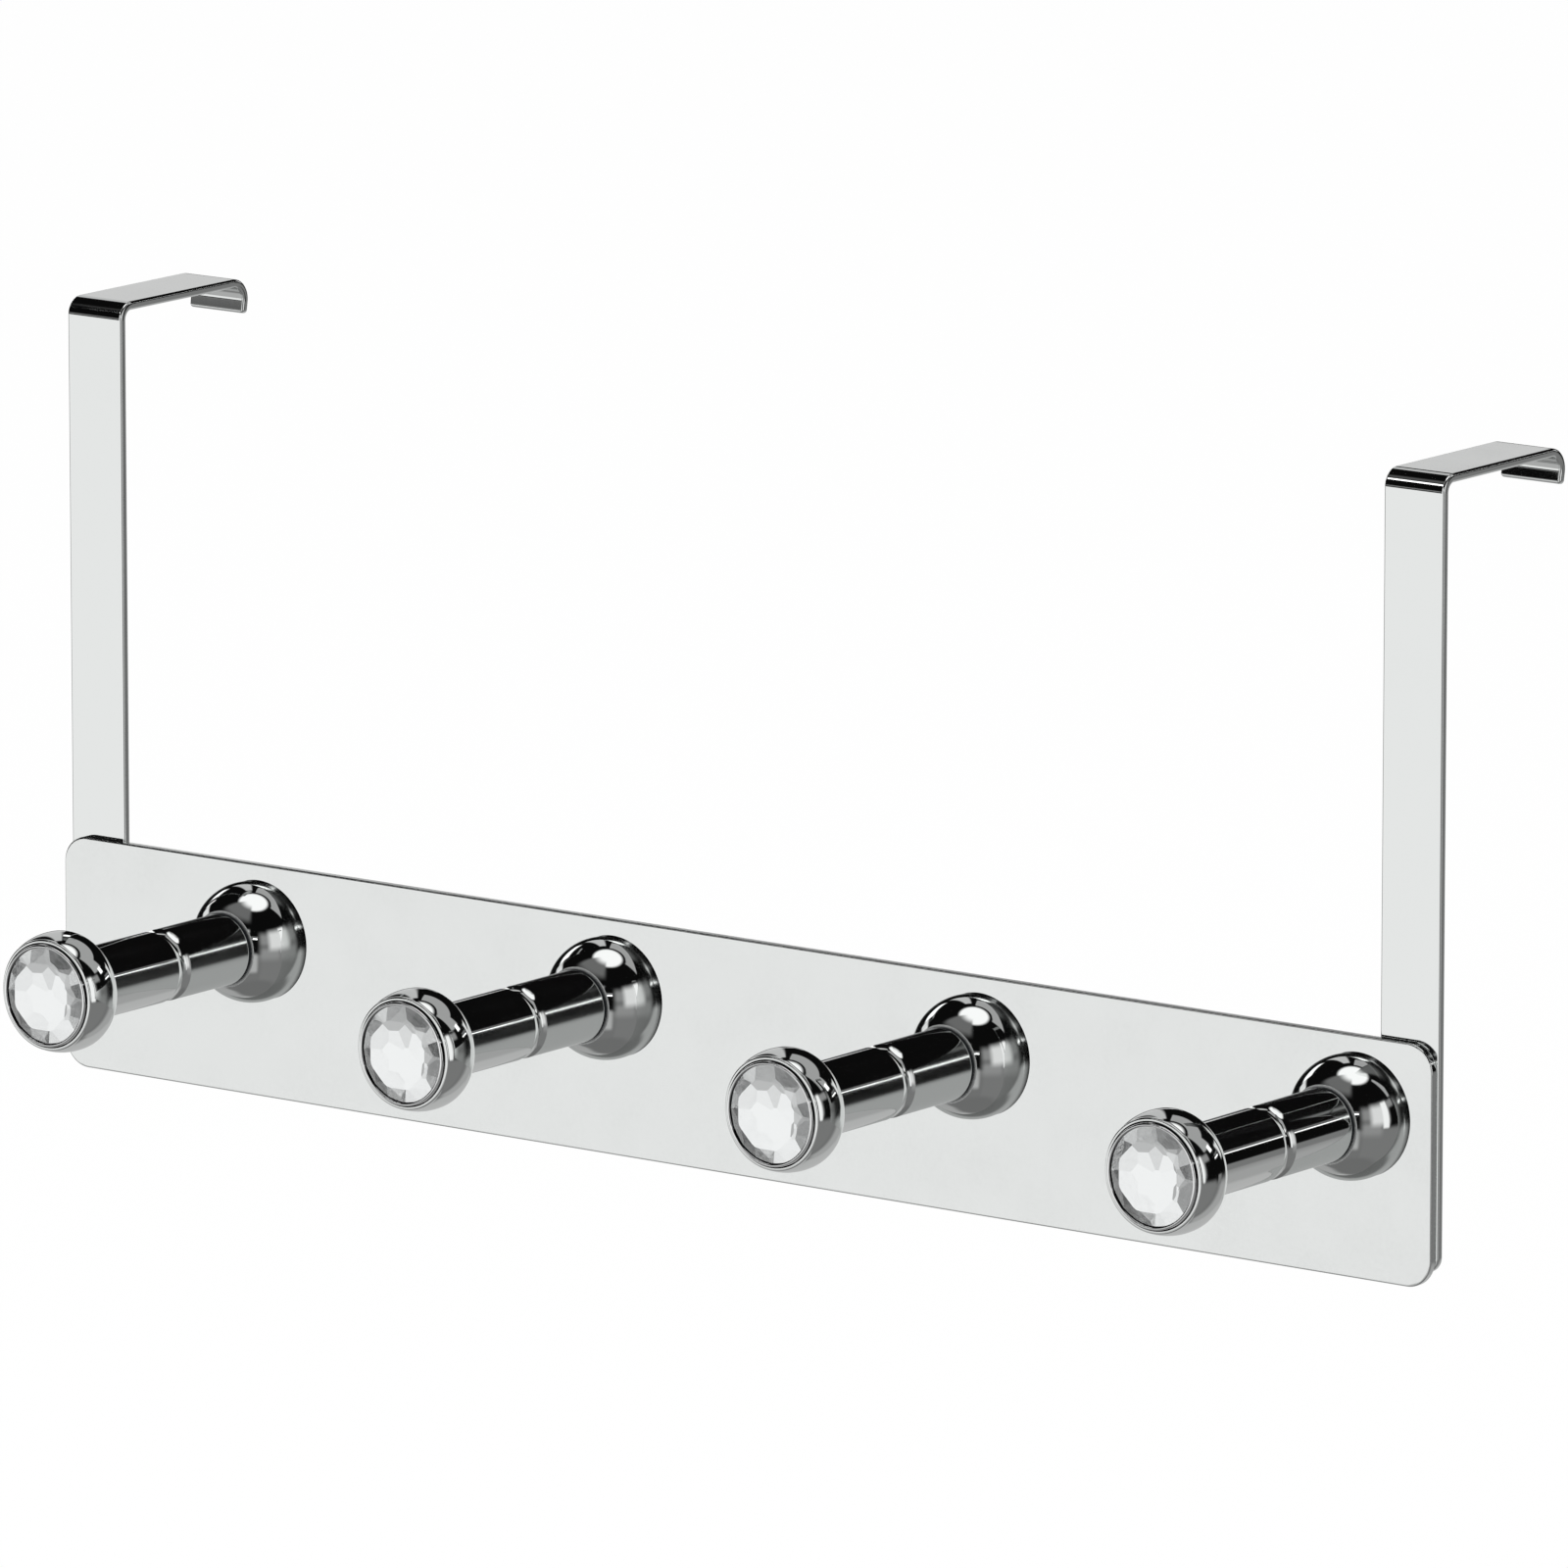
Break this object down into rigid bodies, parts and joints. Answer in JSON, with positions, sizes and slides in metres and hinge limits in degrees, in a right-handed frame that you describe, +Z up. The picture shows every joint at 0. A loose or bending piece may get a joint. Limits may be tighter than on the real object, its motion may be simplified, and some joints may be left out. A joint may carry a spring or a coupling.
{
  "type": "over door hook rack",
  "caption": "Chromed rail that hangs over a door by bent flat straps and carries a row of turned coat pegs tipped with faceted crystals.",
  "frame": {"origin": "middle of the left strap's seat, the underside of the bridge that lies on the door's top edge", "axes": "+X along the plate to the right, +Y back over the door, +Z up; the pegs point along -Y"},
  "size_m": [0.3645, 0.1206, 0.1705],
  "materials": {
    "sheet_chrome": "bright chrome plate on polished steel sheet",
    "peg_chrome": "bright chrome plate on turned bar",
    "bezel_chrome": "bright chrome plate on a pressed cup",
    "crystal": "clear faceted stone",
    "screw_steel": "zinc-plated steel"
  },
  "bodies": {
    "root": {"plate": "sheet_chrome", "left_strap": "sheet_chrome", "right_strap": "sheet_chrome", "rosette_1": "peg_chrome", "peg_1": "peg_chrome", "bezel_cup_1": "bezel_chrome", "crystal_1": "crystal", "rosette_2": "peg_chrome", "peg_2": "peg_chrome", "bezel_cup_2": "bezel_chrome", "crystal_2": "crystal", "rosette_3": "peg_chrome", "peg_3": "peg_chrome", "bezel_cup_3": "bezel_chrome", "crystal_3": "crystal", "rosette_4": "peg_chrome", "peg_4": "peg_chrome", "bezel_cup_4": "bezel_chrome", "crystal_4": "crystal", "peg_screws": "screw_steel"}
  },
  "joints": []
}
